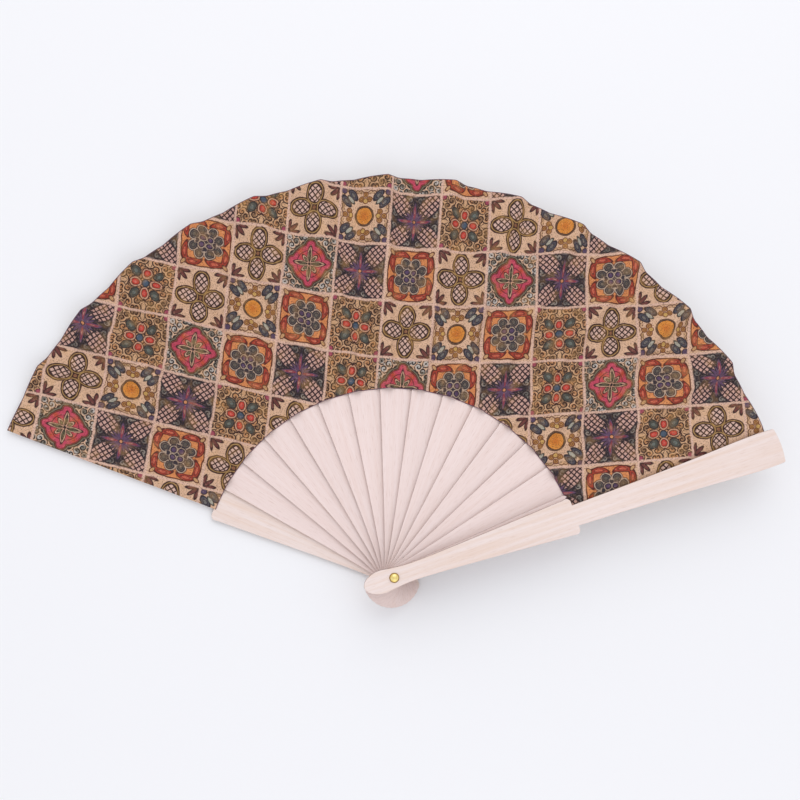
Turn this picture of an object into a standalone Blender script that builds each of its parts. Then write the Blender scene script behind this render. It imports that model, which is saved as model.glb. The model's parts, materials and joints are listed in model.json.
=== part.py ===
"""A wooden folding hand fan, lying open on its rear guard.

The rivet's axis is Z through the origin, and Z = 0 is the back face of the rear guard.
The fan opens towards +Y. The sticks are stacked along +Z: the rear guard, the ribs, and
the front guard on top. Each stick turns about the rivet, and closes towards the rear guard.
"""

import math

import bmesh
import bpy

MM = 0.001

# Driving dimensions, in millimetres and degrees.
RIBS = 14
FOLD_DEG = 9.8  # angle between one stick and the next when the fan is open
GUARD_LEAD_DEG = 1.2  # the front guard lies this much past the last rib

HEAD_END = -15.8  # the sticks' rounded ends, measured along a stick from the rivet
HEAD_WIDEST = -5.8
SHOULDER = 98.5  # where the blade narrows to the slip behind the leaf
SHOULDER_ROUND = 2.4
BLADE_STATIONS = ((HEAD_WIDEST, 5.8), (8.5, 4.4), (30, 5.2), (60, 7.0), (SHOULDER, 9.5))
SLIP_ROOT_HALF = 3.6
SLIP_TIP_HALF = 2.2
SLIP_END = 204.0
FRONT_GUARD_STATIONS = ((SHOULDER, 5.4), (130, 6.3), (165, 7.6), (200, 9.4), (215.0, 9.2))
REAR_GUARD_STATIONS = ((SHOULDER, 4.1), (130, 5.3), (165, 6.8), (200, 8.3), (208.6, 8.5))
GUARD_TIP_CROWN = 0.8
GUARD_CORNER = 1.0

GUARD_THICK = 2.2
RIB_THICK = 1.0
SLIP_THICK = 0.5  # the slip is the front half of the rib's thickness
STACK_GAP = 0.3
RIB_PITCH = RIB_THICK + STACK_GAP
FRONT_GUARD_GAP = 0.65  # room for the leaf's end under the front guard

LEAF_INNER = 99.0
LEAF_OUTER = 210.0
LEAF_THICK = 0.2
GLUE_GAP = 0.05  # leaf panel above the slip that it is glued to
FREE_PANEL_RISE = 0.4  # free panel's underside above the rib's front face
END_PANEL_RISE = 0.36
PANEL_EDGE_GAP_DEG = 0.08

PIN_RADIUS = 1.25  # turns in the sticks' holes with 0.08 clearance all round
PIN_HOLE_RADIUS = 1.33
PIN_TAIL_RADIUS = 2.0
PIN_TAIL_THICK = 0.5
PIN_HEAD_RADIUS = 2.1
PIN_HEAD_HIGH = 1.2
WASHER_RADIUS = 2.5
WASHER_THICK = 0.3
METAL_GAP = 0.05
RECESS_RADIUS = 2.9
RECESS_DEEP = 0.95

ROUND_SIDES = 32
GUARD_EDGE_BEVEL = 0.3
SHARP_EDGE_DEG = 50
WELD = 0.001  # points nearer than this are one point
CUTTER_SPARE = 10.0  # how far a cutter sticks out of what it cuts

# Places that follow from them.
PANEL_DEG = FOLD_DEG / 2
REAR_AXIS_DEG = 90 + (RIBS * FOLD_DEG + GUARD_LEAD_DEG) / 2
FRONT_AXIS_DEG = REAR_AXIS_DEG - RIBS * FOLD_DEG - GUARD_LEAD_DEG
FIRST_RIB_Z = GUARD_THICK + STACK_GAP
FRONT_GUARD_Z = FIRST_RIB_Z + (RIBS - 1) * RIB_PITCH + RIB_THICK + FRONT_GUARD_GAP
FRONT_FACE_Z = FRONT_GUARD_Z + GUARD_THICK


def axis_deg(stick):
    """Direction of a stick's centre line: 0 is the rear guard, 1 to RIBS are the ribs."""
    return REAR_AXIS_DEG - stick * FOLD_DEG


def front_face_z(stick):
    """Height of the front face of the rear guard (0) or of a rib."""
    if stick == 0:
        return GUARD_THICK
    return FIRST_RIB_Z + (stick - 1) * RIB_PITCH + RIB_THICK


# Outlines ---------------------------------------------------------------------------


def smooth_line(stations, per_span=6):
    """Points on a smooth curve through the stations, by Catmull-Rom interpolation."""
    ends = (stations[0], *stations, stations[-1])
    points = []
    for before, start, end, after in zip(ends, ends[1:], ends[2:], ends[3:]):
        for step in range(per_span):
            t = step / per_span
            points.append(
                tuple(
                    b + 0.5 * t * (c - a + t * (2 * a - 5 * b + 4 * c - d + t * (3 * (b - c) + d - a)))
                    for a, b, c, d in zip(before, start, end, after)
                )
            )
    points.append(stations[-1])
    return points


def arc(centre, radii, start_deg, end_deg, steps):
    """Points along an elliptical arc."""
    angles = (math.radians(start_deg + (end_deg - start_deg) * n / steps) for n in range(steps + 1))
    return [(centre[0] + radii[0] * math.cos(a), centre[1] + radii[1] * math.sin(a)) for a in angles]


def blade_side():
    """One side of the gorge blade, from the head's end to the shoulder's inner corner."""
    head = arc((HEAD_WIDEST, 0), (HEAD_WIDEST - HEAD_END, BLADE_STATIONS[0][1]), 180, 90, 10)
    side = [p for p in smooth_line(BLADE_STATIONS)[1:] if p[0] < SHOULDER - SHOULDER_ROUND]
    half = BLADE_STATIONS[-1][1]
    corner = (SHOULDER - SHOULDER_ROUND, half - SHOULDER_ROUND)
    return head + side + arc(corner, (SHOULDER_ROUND, SHOULDER_ROUND), 90, 0, 5)


def slip_side():
    """One side of a rib's slip, which narrows from the shoulder to its rounded tip."""
    tip = arc((SLIP_END - SLIP_TIP_HALF, 0), (SLIP_TIP_HALF, SLIP_TIP_HALF), 90, 0, 5)
    return [(SHOULDER, SLIP_ROOT_HALF), *tip]


def guard_side(stations):
    """One side of a guard past the shoulder, to the middle of its crowned tip."""
    side = smooth_line(stations, 4)
    end, half = stations[-1]
    side = [p for p in side if p[0] < end - GUARD_CORNER]
    rounding = arc((end - GUARD_CORNER, half - GUARD_CORNER), (GUARD_CORNER, GUARD_CORNER), 90, 10, 4)
    crown = [(end + GUARD_TIP_CROWN * 0.75, half / 2), (end + GUARD_TIP_CROWN, 0)]
    return side + rounding + crown


def whole(side):
    """The closed outline made of one side and its mirror image."""
    mirrored = [(x, -y) for x, y in reversed(side) if y > 1e-6]
    return side + mirrored


def sector(from_deg, to_deg, inner, outer):
    """A ring sector's outline."""
    outside = arc((0, 0), (outer, outer), from_deg, to_deg, 4)
    inside = arc((0, 0), (inner, inner), to_deg, from_deg, 3)
    return outside + inside


# Meshes -----------------------------------------------------------------------------


def link(obj, collection):
    collection.objects.link(obj)
    return obj


def material(name, colour, roughness, metallic=0.0):
    made = bpy.data.materials.new(name)
    made.use_nodes = True
    shader = made.node_tree.nodes["Principled BSDF"]
    shader.inputs["Base Color"].default_value = (*colour, 1)
    shader.inputs["Roughness"].default_value = roughness
    shader.inputs["Metallic"].default_value = metallic
    made.diffuse_color = (*colour, 1)
    return made


def as_mesh(obj, name):
    """The object's evaluated shape as a mesh of its own, with the object removed."""
    graph = bpy.context.evaluated_depsgraph_get()
    mesh = bpy.data.meshes.new_from_object(obj.evaluated_get(graph))
    mesh.name = name
    bpy.data.objects.remove(obj)
    return mesh


def plate_mesh(name, outline, thick, hole_radius=None, helpers=None):
    """A flat plate between Z = 0 and Z = thick, with a round hole at the origin if asked."""
    curve = bpy.data.curves.new(name, "CURVE")
    curve.dimensions = "2D"
    curve.fill_mode = "BOTH"
    curve.extrude = thick * MM / 2
    loops = [outline]
    if hole_radius:
        loops.append(arc((0, 0), (hole_radius, hole_radius), 0, 360, ROUND_SIDES)[:-1])
    for loop in loops:
        spline = curve.splines.new("POLY")
        spline.points.add(len(loop) - 1)
        for point, (x, y) in zip(spline.points, loop):
            point.co = (x * MM, y * MM, 0, 1)
        spline.use_cyclic_u = True
    obj = link(bpy.data.objects.new(name, curve), helpers)
    bpy.context.view_layer.update()
    mesh = as_mesh(obj, name)
    weld(mesh)
    for vertex in mesh.vertices:
        vertex.co.z += thick * MM / 2
    return mesh


def weld(mesh):
    """Joins a filled curve's loose caps to its sides."""
    bm = bmesh_of(mesh)
    bmesh.ops.remove_doubles(bm, verts=bm.verts, dist=WELD * MM)
    bmesh.ops.recalc_face_normals(bm, faces=bm.faces)
    bm.to_mesh(mesh)
    bm.free()


def bmesh_of(mesh):
    bm = bmesh.new()
    bm.from_mesh(mesh)
    return bm


def cut(mesh, name, cutter, helpers):
    """The mesh with the cutter taken out of it. The cutter stays hidden among the helpers."""
    cutter.hide_render = True
    cutter.display_type = "WIRE"
    obj = link(bpy.data.objects.new(name, mesh), helpers)
    boolean = obj.modifiers.new("cut", "BOOLEAN")
    boolean.operation = "DIFFERENCE"
    boolean.solver = "EXACT"
    boolean.object = cutter
    bpy.context.view_layer.update()
    return as_mesh(obj, name)


def cutter_box(name, low, high, helpers):
    bpy.ops.mesh.primitive_cube_add(size=1)
    box = bpy.context.object
    box.name = name
    box.location = [(a + b) / 2 * MM for a, b in zip(low, high)]
    box.scale = [(b - a) * MM for a, b in zip(low, high)]
    return moved_to(box, helpers)


def cutter_disc(name, radius, low_z, high_z, helpers):
    depth = (high_z - low_z) * MM
    bpy.ops.mesh.primitive_cylinder_add(vertices=ROUND_SIDES, radius=radius * MM, depth=depth)
    disc = bpy.context.object
    disc.name = name
    disc.location.z = (low_z + high_z) / 2 * MM
    return moved_to(disc, helpers)


def moved_to(obj, collection):
    for old in list(obj.users_collection):
        old.objects.unlink(obj)
    return link(obj, collection)


def turned(name, profile, finish, parts):
    """A solid of revolution about the rivet's axis. The profile of (radius, height) runs downwards."""
    mesh = bpy.data.meshes.new(name)
    points = [(radius * MM, 0, height * MM) for radius, height in profile]
    mesh.from_pydata(points, [(n, n + 1) for n in range(len(points) - 1)], [])
    obj = link(bpy.data.objects.new(name, mesh), parts)
    screw = obj.modifiers.new("turn", "SCREW")
    screw.steps = ROUND_SIDES
    screw.render_steps = ROUND_SIDES
    screw.use_merge_vertices = True
    screw.merge_threshold = WELD * MM
    screw.use_smooth_shade = True
    mesh.materials.append(finish)
    return obj


def place(name, mesh, finish, z, turn_deg, parts):
    """A stick or a leaf panel, with its origin on the rivet's axis."""
    obj = link(bpy.data.objects.new(name, mesh), parts)
    obj.location.z = z * MM
    obj.rotation_euler.z = math.radians(turn_deg)
    mesh.materials.clear()
    mesh.materials.append(finish)
    return obj


# The fan's pieces -------------------------------------------------------------------


def build_ribs(finish, parts, helpers):
    outline = whole(blade_side() + slip_side())
    blade_and_slip = plate_mesh("rib_blank", outline, RIB_THICK, PIN_HOLE_RADIUS, helpers)
    low = (SHOULDER, -CUTTER_SPARE, -CUTTER_SPARE)
    high = (SLIP_END + CUTTER_SPARE, CUTTER_SPARE, RIB_THICK - SLIP_THICK)
    relief = cutter_box("slip_relief", low, high, helpers)
    mesh = cut(blade_and_slip, "rib", relief, helpers)
    for rib in range(1, RIBS + 1):
        bottom = front_face_z(rib) - RIB_THICK
        place(f"rib_{rib:02d}", mesh, finish, bottom, axis_deg(rib), parts)


def build_guards(finish, parts, helpers):
    """The front guard, and the rear guard that the leaf covers right to its edges."""
    outline = whole(blade_side() + guard_side(FRONT_GUARD_STATIONS))
    front = plate_mesh("front_guard", outline, GUARD_THICK, PIN_HOLE_RADIUS, helpers)
    outline = whole(blade_side() + guard_side(REAR_GUARD_STATIONS))
    blank = plate_mesh("rear_blank", outline, GUARD_THICK, PIN_HOLE_RADIUS, helpers)
    recess = cutter_disc("washer_recess", RECESS_RADIUS, -CUTTER_SPARE, RECESS_DEEP, helpers)
    rear = cut(blank, "rear_guard", recess, helpers)
    place("rear_guard", rear, finish, 0, REAR_AXIS_DEG, parts)
    guard = place("front_guard", front, finish, FRONT_GUARD_Z, FRONT_AXIS_DEG, parts)
    edge = guard.modifiers.new("eased_edges", "BEVEL")
    edge.width = GUARD_EDGE_BEVEL * MM
    edge.segments = 2
    edge.limit_method = "ANGLE"
    edge.angle_limit = math.radians(SHARP_EDGE_DEG)


def build_rivet(finish, parts):
    head_z = FRONT_FACE_Z + 2 * METAL_GAP + WASHER_THICK
    dome = arc((0, head_z), (PIN_HEAD_RADIUS, PIN_HEAD_HIGH), 90, 0, 8)
    shaft = [(PIN_RADIUS, head_z), (PIN_RADIUS, PIN_TAIL_THICK)]
    tail = [(PIN_TAIL_RADIUS, PIN_TAIL_THICK), (PIN_TAIL_RADIUS, 0), (0, 0)]
    turned("rivet_pin", dome + shaft + tail, finish, parts)
    rear_z = PIN_TAIL_THICK + METAL_GAP
    washer("rear_washer", rear_z, finish, parts)
    washer("front_washer", FRONT_FACE_Z + METAL_GAP, finish, parts)


def washer(name, z, finish, parts):
    inner, outer, top = PIN_HOLE_RADIUS, WASHER_RADIUS, z + WASHER_THICK
    turned(name, [(inner, z), (inner, top), (outer, top), (outer, z), (inner, z)], finish, parts)


def build_leaf(finish, parts, helpers):
    """A glued panel over each rib and the rear guard, and a free panel after each of them."""
    half = PANEL_DEG / 2 - PANEL_EDGE_GAP_DEG
    outline = sector(-half, half, LEAF_INNER, LEAF_OUTER)
    panel = plate_mesh("leaf_panel", outline, LEAF_THICK, None, helpers)
    for stick in range(RIBS + 1):
        glued_z = front_face_z(stick) + GLUE_GAP
        place(f"leaf_glued_{stick:02d}", panel, finish, glued_z, axis_deg(stick), parts)
        if stick < RIBS:
            free_z = front_face_z(stick) + FREE_PANEL_RISE
            place(f"leaf_free_{stick:02d}", panel, finish, free_z, axis_deg(stick) - PANEL_DEG, parts)
    end_z = front_face_z(RIBS) + END_PANEL_RISE
    place("leaf_end", panel, finish, end_z, FRONT_AXIS_DEG, parts)


def build():
    for obj in list(bpy.data.objects):
        bpy.data.objects.remove(obj)
    parts = bpy.data.collections.new("hand_fan")
    helpers = bpy.data.collections.new("cutters")
    bpy.context.scene.collection.children.link(parts)
    bpy.context.scene.collection.children.link(helpers)
    pale_wood = material("pale_wood", (0.86, 0.76, 0.68), 0.55)
    printed_cloth = material("printed_cloth", (0.55, 0.40, 0.27), 0.8)
    brass = material("brass", (0.90, 0.72, 0.25), 0.25, 1.0)
    build_ribs(pale_wood, parts, helpers)
    build_guards(pale_wood, parts, helpers)
    build_rivet(brass, parts)
    build_leaf(printed_cloth, parts, helpers)


build()
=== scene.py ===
# %% [markdown]
# # A folding hand fan: eased wooden sticks, a brass rivet and a pleated, printed leaf
#
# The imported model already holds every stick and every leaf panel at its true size. This
# lesson dresses it: the sticks get sanded edges and a pale wood, the rivet is turned in
# brass, and the leaf is made as a fan maker makes it. The cloth is cut flat as a ring
# sector, printed all over with square tiles, and then folded into pleats over the sticks.

# %% Load the model
import json
import math
from contextlib import contextmanager

import bpy
from mathutils import Matrix, Vector


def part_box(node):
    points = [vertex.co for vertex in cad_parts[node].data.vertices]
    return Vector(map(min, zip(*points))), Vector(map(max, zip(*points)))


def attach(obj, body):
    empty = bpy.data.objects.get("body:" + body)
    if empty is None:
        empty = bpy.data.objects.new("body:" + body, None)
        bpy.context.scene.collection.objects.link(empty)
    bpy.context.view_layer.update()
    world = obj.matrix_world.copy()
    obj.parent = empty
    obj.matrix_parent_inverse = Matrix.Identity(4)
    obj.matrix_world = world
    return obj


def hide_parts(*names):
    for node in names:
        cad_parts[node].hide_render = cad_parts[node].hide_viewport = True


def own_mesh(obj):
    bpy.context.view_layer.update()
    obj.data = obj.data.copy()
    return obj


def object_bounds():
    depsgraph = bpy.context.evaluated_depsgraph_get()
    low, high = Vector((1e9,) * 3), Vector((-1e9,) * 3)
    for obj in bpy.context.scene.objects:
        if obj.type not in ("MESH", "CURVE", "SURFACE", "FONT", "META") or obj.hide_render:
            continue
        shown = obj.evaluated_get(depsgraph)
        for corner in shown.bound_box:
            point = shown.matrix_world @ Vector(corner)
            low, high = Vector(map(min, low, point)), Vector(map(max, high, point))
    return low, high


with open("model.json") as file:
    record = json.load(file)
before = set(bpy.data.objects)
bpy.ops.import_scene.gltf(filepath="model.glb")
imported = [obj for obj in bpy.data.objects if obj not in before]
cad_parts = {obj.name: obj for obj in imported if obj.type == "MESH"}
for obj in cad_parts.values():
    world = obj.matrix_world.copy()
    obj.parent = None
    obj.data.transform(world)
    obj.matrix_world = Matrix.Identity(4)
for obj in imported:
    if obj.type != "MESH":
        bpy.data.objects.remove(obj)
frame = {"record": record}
cad_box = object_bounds()
print("the model's box:", cad_box)

# %% [markdown]
# ## Dimensions that come from the model
#
# A stick's place is its angle about the rivet and the height of its front face. The hinges'
# ranges give the angles, because each stick closes right onto the rear guard, and the boxes
# of the nodes give the heights.

# %% Read the fan's layout
MM = 0.001
SWING = {joint["name"]: joint["range_deg"][1] for joint in frame["record"]["behaviour"]["joints"]}
RIBS = sum(name.startswith("rib_") for name in SWING)
FOLD = SWING["rib_01_swing"]
HALF_PANEL = FOLD / 4
REAR_AXIS = 90 + SWING["front_guard_swing"] / 2
FRONT_AXIS = 90 - SWING["front_guard_swing"] / 2
RIB_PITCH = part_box("rib_02")[1][2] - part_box("rib_01")[1][2]
STICKS = ["rear_guard"] + [f"rib_{n:02d}" for n in range(1, RIBS + 1)]
FRONT_Z = [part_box(name)[1][2] for name in STICKS]
print(RIBS, "ribs,", FOLD, "degrees apart,", round(RIB_PITCH / MM, 2), "mm from one to the next")


def axis_of(stick):
    """Direction of a stick's centre line in degrees: 0 is the rear guard."""
    return REAR_AXIS - stick * FOLD


# %% [markdown]
# ## The camera
#
# The fan lies on a white table and is seen from almost straight above. The camera comes
# first, so that every trial render shows the same view.

# %% Camera
CAMERA_PLACE = (-0.0427, 0.0223, 0.5526)
CAMERA_ROLL, CAMERA_TILT, CAMERA_YAW = 2.9, 7.07, -4.86
LENS_MM, SENSOR_MM = 46.9, 36
NEAREST = 0.01  # metres: nothing nearer to the camera is drawn


def new_object(name, data):
    obj = bpy.data.objects.new(name, data)
    bpy.context.scene.collection.objects.link(obj)
    return obj


def aim_camera():
    camera = new_object("camera", bpy.data.cameras.new("camera"))
    turn = Matrix.Rotation(math.radians(CAMERA_ROLL), 4, "Z")
    turn = turn @ Matrix.Rotation(math.radians(CAMERA_TILT), 4, "X")
    turn = turn @ Matrix.Rotation(math.radians(CAMERA_YAW), 4, "Y")
    camera.matrix_world = Matrix.Translation(CAMERA_PLACE) @ turn
    camera.data.lens = LENS_MM
    camera.data.sensor_width = SENSOR_MM
    camera.data.clip_start = NEAREST
    bpy.context.scene.camera = camera
    return camera


camera = aim_camera()
print("camera at", tuple(round(v, 3) for v in camera.location))

# %% [markdown]
# ## The light and the table
#
# A fan lying open on a white table shows a soft shadow below the raised front guard and no
# hard glints. One broad lamp past the leaf's outer edge gives the main light, a weaker card
# fills in from the other side, and a pale sky lifts the rest. The table is one large flat
# plane.

# %% Light and table
LAMP_PLACE = (0.05, 0.85, 0.85)
LAMP_SIZE = 1.1
LAMP_WATTS = 2.7
CARD_PLACE = (0.15, -0.75, 0.55)
CARD_WATTS = 1.3
SKY = (0.945, 0.95, 1.0)
SKY_STRENGTH = 0.86
AIM = (0, 0.1, 0)  # the lamps point at the middle of the leaf
TABLE_SIZE, TABLE_GAP = 6, 0.02 * MM
TABLE_COLOUR, TABLE_ROUGH = (0.93, 0.93, 0.935, 1), 0.9


def soft_lamp(name, place, watts):
    lamp = new_object(name, bpy.data.lights.new(name, "AREA"))
    lamp.data.shape = "DISK"
    lamp.data.size = LAMP_SIZE
    lamp.data.energy = watts
    lamp.location = place
    lamp.rotation_euler = (Vector(AIM) - Vector(place)).to_track_quat("-Z", "Y").to_euler()
    return lamp


def pale_sky():
    world = bpy.data.worlds.new("pale_sky")
    world.use_nodes = True
    background = world.node_tree.nodes["Background"]
    background.inputs["Color"].default_value = (*SKY, 1)
    background.inputs["Strength"].default_value = SKY_STRENGTH
    bpy.context.scene.world = world


def white_table():
    height = cad_box[0][2] - TABLE_GAP
    bpy.ops.mesh.primitive_plane_add(size=TABLE_SIZE, location=(0, 0, height))
    table = bpy.context.object
    table.name = "table"
    paper = bpy.data.materials.new("white_table")
    paper.use_nodes = True
    shader = paper.node_tree.nodes["Principled BSDF"]
    shader.inputs["Base Color"].default_value = TABLE_COLOUR
    shader.inputs["Roughness"].default_value = TABLE_ROUGH
    table.data.materials.append(paper)


bpy.ops.object.select_all(action="DESELECT")
soft_lamp("broad_lamp", LAMP_PLACE, LAMP_WATTS)
soft_lamp("white_card", CARD_PLACE, CARD_WATTS)
pale_sky()
white_table()
bpy.context.scene.view_settings.view_transform = "Standard"
print("lamp, sky and table are set")

# %% [markdown]
# ## Writing patterns as sums
#
# The wood and the print are drawn by shader nodes. A pattern needs hundreds of small sums,
# which are hard to read as a net of nodes, so a little class lets them be written as plain
# arithmetic. Every sum that is written adds the Math node that works it out.

# %% A number that builds its own nodes
class Number:
    """A value in a shader. Arithmetic on it adds Math nodes to its tree."""

    def __init__(self, tree, socket):
        self.tree = tree
        self.socket = socket

    def __add__(self, other):
        return calc("ADD", self, other)

    def __sub__(self, other):
        return calc("SUBTRACT", self, other)

    def __rsub__(self, other):
        return calc("SUBTRACT", other, self)

    def __mul__(self, other):
        return calc("MULTIPLY", self, other)


def plug(tree, value, socket):
    """Links a Number to a socket, or sets a plain number on it."""
    if isinstance(value, Number):
        tree.links.new(value.socket, socket)
    else:
        socket.default_value = value


def calc(operation, *values, clamp=False):
    tree = next(value.tree for value in values if isinstance(value, Number))
    node = tree.nodes.new("ShaderNodeMath")
    node.operation = operation
    node.use_clamp = clamp
    for value, socket in zip(values, node.inputs):
        plug(tree, value, socket)
    return Number(tree, node.outputs[0])


def arrow(x, y):
    join = x.tree.nodes.new("ShaderNodeCombineXYZ")
    plug(x.tree, x, join.inputs[0])
    plug(x.tree, y, join.inputs[1])
    return join.outputs[0]


def ramp(value, slope, start):
    """A straight ramp that stops at 0 and 1."""
    return calc("MULTIPLY_ADD", value, slope, start, clamp=True)


def distance(x, y):
    """Length of the arrow (x, y)."""
    start = arrow(x, y)
    length = x.tree.nodes.new("ShaderNodeVectorMath")
    length.operation = "LENGTH"
    x.tree.links.new(start, length.inputs[0])
    return Number(x.tree, length.outputs["Value"])


print("a Number can be added, subtracted and multiplied")

# %% [markdown]
# ## Laying one ink over another
#
# A print is built up as a printer lays inks: a ground first, then shape over shape. A Mix
# node lays one colour over the last, and its factor says where the new ink covers.

# %% Inks
def ink(code):
    """A colour given as web hex, as the linear numbers that a shader takes."""
    parts = [int(code[n : n + 2], 16) / 255 for n in (0, 2, 4)]
    return (*[c / 12.92 if c < 0.04045 else ((c + 0.055) / 1.055) ** 2.4 for c in parts], 1)


class Painting:
    """A colour that is painted over, shape by shape."""

    def __init__(self, tree, ground):
        self.tree = tree
        self.colour = ink(ground)

    def over(self, colour, cover):
        mix = self.tree.nodes.new("ShaderNodeMix")
        mix.data_type = "RGBA"
        plug(self.tree, cover, mix.inputs[0])
        for socket, value in ((mix.inputs[6], self.colour), (mix.inputs[7], colour)):
            if isinstance(value, str):
                socket.default_value = ink(value)
            elif isinstance(value, tuple):
                socket.default_value = value
            else:
                self.tree.links.new(value, socket)
        self.colour = mix.outputs[2]

    def bands(self, gap, *bands):
        """Paints a shape again and again, each time a little smaller: colours and insets."""
        for colour, inset in bands:
            self.over(colour, inside(gap + inset))

    def darker(self, factor):
        """Multiplies the colour by a Number."""
        mix = self.tree.nodes.new("ShaderNodeMix")
        mix.data_type = "RGBA"
        mix.blend_type = "MULTIPLY"
        mix.inputs[0].default_value = 1
        self.tree.links.new(self.colour, mix.inputs[6])
        self.tree.links.new(factor.socket, mix.inputs[7])
        self.colour = mix.outputs[2]


print("black ink:", ink("000000"), "white ink:", ink("FFFFFF"))

# %% [markdown]
# ## Shapes, pen lines and clouds
#
# A shape is kept as a distance to its outline, which is below 0 inside it. The shape itself
# is then a soft step of that distance, and a pen line is a narrow band round 0. Noise adds
# what no outline can: grain, specks and uneven ink.

# %% Shapes, lines and noise
PEN_SOFT = 0.007  # of a tile: how softly an ink ends


def inside(gap, soft=PEN_SOFT):
    """Cover of a shape: 1 where the distance to its outline is below 0."""
    return ramp(gap, -1 / soft, 0.5)


def line(gap, width):
    """Cover of a pen line along a shape's outline."""
    return inside(calc("ABSOLUTE", gap) - width / 2)


def oval(along, across, centre, long, wide):
    """Distance to an oval whose middle is at (centre, 0)."""
    a = calc("MULTIPLY_ADD", along, 1 / long, -centre / long)
    return calc("MULTIPLY_ADD", distance(a, across * (1 / wide)), wide, -wide)


def noise(tree, vector, scale, detail, stretch=None):
    """Cloudy noise from 0 to 1 on a vector socket."""
    if stretch:
        mapping = tree.nodes.new("ShaderNodeMapping")
        mapping.inputs["Scale"].default_value = stretch
        tree.links.new(vector, mapping.inputs["Vector"])
        vector = mapping.outputs[0]
    node = tree.nodes.new("ShaderNodeTexNoise")
    node.inputs["Scale"].default_value = scale
    node.inputs["Detail"].default_value = detail
    tree.links.new(vector, node.inputs["Vector"])
    return Number(tree, node.outputs["Fac"])


def uv_of(tree, layer):
    node = tree.nodes.new("ShaderNodeUVMap")
    node.uv_map = layer
    return node.outputs[0]


def finish_shader(material, colour, roughness, height, bump_mm, strength):
    """Plugs a colour, a roughness and a bump height into the material's shader."""
    tree = material.node_tree
    shader = tree.nodes["Principled BSDF"]
    tree.links.new(colour, shader.inputs["Base Color"])
    plug(tree, roughness, shader.inputs["Roughness"])
    bump = tree.nodes.new("ShaderNodeBump")
    bump.inputs["Strength"].default_value = strength
    bump.inputs["Distance"].default_value = bump_mm * MM
    tree.links.new(height.socket, bump.inputs["Height"])
    tree.links.new(bump.outputs[0], shader.inputs["Normal"])
    return shader


def new_material(name):
    material = bpy.data.materials.new(name)
    material.use_nodes = True
    return material


print("an ink's edge is", PEN_SOFT, "of a tile wide")

# %% [markdown]
# ## Pale wood
#
# The sticks are cut from a pale, bare hardwood. Its grain runs along each stick: long soft
# streaks, fine dark pores, and a little pink warmth that changes from stick to stick. Each
# stick carries a UV map in metres, along it and across it, so one material serves them all.

# %% Wood finish
def wood(name, light, streak, pore, streaky):
    material = new_material(name)
    tree = material.node_tree
    grain = uv_of(tree, "grain")
    streaks = noise(tree, grain, 1.0, 4.0, (16, 520, 1))
    fine = noise(tree, grain, 1.0, 3.0, (170, 2600, 1))
    patches = noise(tree, grain, 1.0, 1.0, (9, 45, 1))
    paint = Painting(tree, light)
    paint.over(streak, ramp(streaks, 2.6, -0.95) * streaky)
    paint.over(pore, ramp(fine, 5.0, -2.8) * 0.45)
    paint.darker(calc("MULTIPLY_ADD", patches, 0.08, 0.96))
    rough = calc("MULTIPLY_ADD", fine, 0.18, 0.5)
    finish_shader(material, paint.colour, rough, fine + streaks * 0.5, 0.03, 0.35)
    return material


STICK_WOOD = wood("stick_wood", "F3DFD9", "EAD0C6", "C6A494", 0.6)
GUARD_WOOD = wood("guard_wood", "F2E1DA", "EAD0BF", "CDAD9A", 0.9)
# The dark edge is partly the brown of the sawn wood and partly painted shade: on the ribs it also
# covers the eased rims, which draws the shaded gap lines between the stacked sticks.
EDGE_BROWN_AND_GAP_SHADE = wood("sawn_edge_and_gap_shade", "86654F", "6C4D3A", "4A3022", 1.0)
print("wood finishes:", STICK_WOOD.name, GUARD_WOOD.name, EDGE_BROWN_AND_GAP_SHADE.name)

# %% [markdown]
# ## Sanded sticks
#
# A stick is sawn from thin board and tumbled or sanded, so its edges are eased. The model's
# sticks have the right outline with sharp edges. A copy of one is merged, because a packed
# mesh is loose triangles, its flat faces are made whole, and its sharp edges are beveled.
# The ribs are all alike, so one rib is eased and then copied round the rivet.

# %% Ease the edges of a stick
EDGE_ANGLE = math.radians(50)  # a sharper corner than this is eased
SMOOTH_ANGLE = math.radians(30)  # a blunter one is shaded smooth
FLAT_ANGLE = math.radians(0.3)  # faces this near to level become one
WELD = 1e-6  # metres: points nearer than this are one point
GRAIN_ALONG, GRAIN_SHIFT = 0.37, 0.05  # metres of grain between one stick and the next


def only_selected(obj):
    bpy.ops.object.select_all(action="DESELECT")
    obj.select_set(True)
    bpy.context.view_layer.objects.active = obj


@contextmanager
def editing(obj, select=None):
    """Edit mode on one object, with all of its points selected or deselected if asked."""
    only_selected(obj)
    bpy.ops.object.mode_set(mode="EDIT")
    if select:
        bpy.ops.mesh.select_all(action=select)
    yield
    bpy.ops.object.mode_set(mode="OBJECT")


def copy_of_node(node, name, flatten=True):
    """A merged copy of a model node, with its flat faces made whole if asked."""
    obj = new_object(name, bpy.data.objects[node].data.copy())
    obj.matrix_world = bpy.data.objects[node].matrix_world
    with editing(obj, "SELECT"):
        bpy.ops.mesh.remove_doubles(threshold=WELD)
        if flatten:
            bpy.ops.mesh.dissolve_limited(angle_limit=FLAT_ANGLE)
    obj.data.materials.clear()
    return obj


def ease_edges(obj, width, segments=3):
    with editing(obj, "DESELECT"):
        bpy.ops.mesh.select_mode(type="EDGE")
        bpy.ops.mesh.edges_select_sharp(sharpness=EDGE_ANGLE)
        bpy.ops.mesh.bevel(offset=width, segments=segments, profile=0.5, clamp_overlap=True)
    bpy.ops.object.shade_smooth_by_angle(angle=SMOOTH_ANGLE)


def lay_grain(obj, axis_deg, stick):
    """A UV map along and across the stick, shifted so that no two sticks have the same grain."""
    turn = Matrix.Rotation(-math.radians(axis_deg), 3, "Z")
    layer = obj.data.uv_layers.new(name="grain")
    for loop in obj.data.loops:
        place = turn @ obj.data.vertices[loop.vertex_index].co
        across = place.y + place.z * 0.6 + stick * GRAIN_SHIFT
        layer.data[loop.index].uv = (place.x + stick * GRAIN_ALONG, across)


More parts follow.
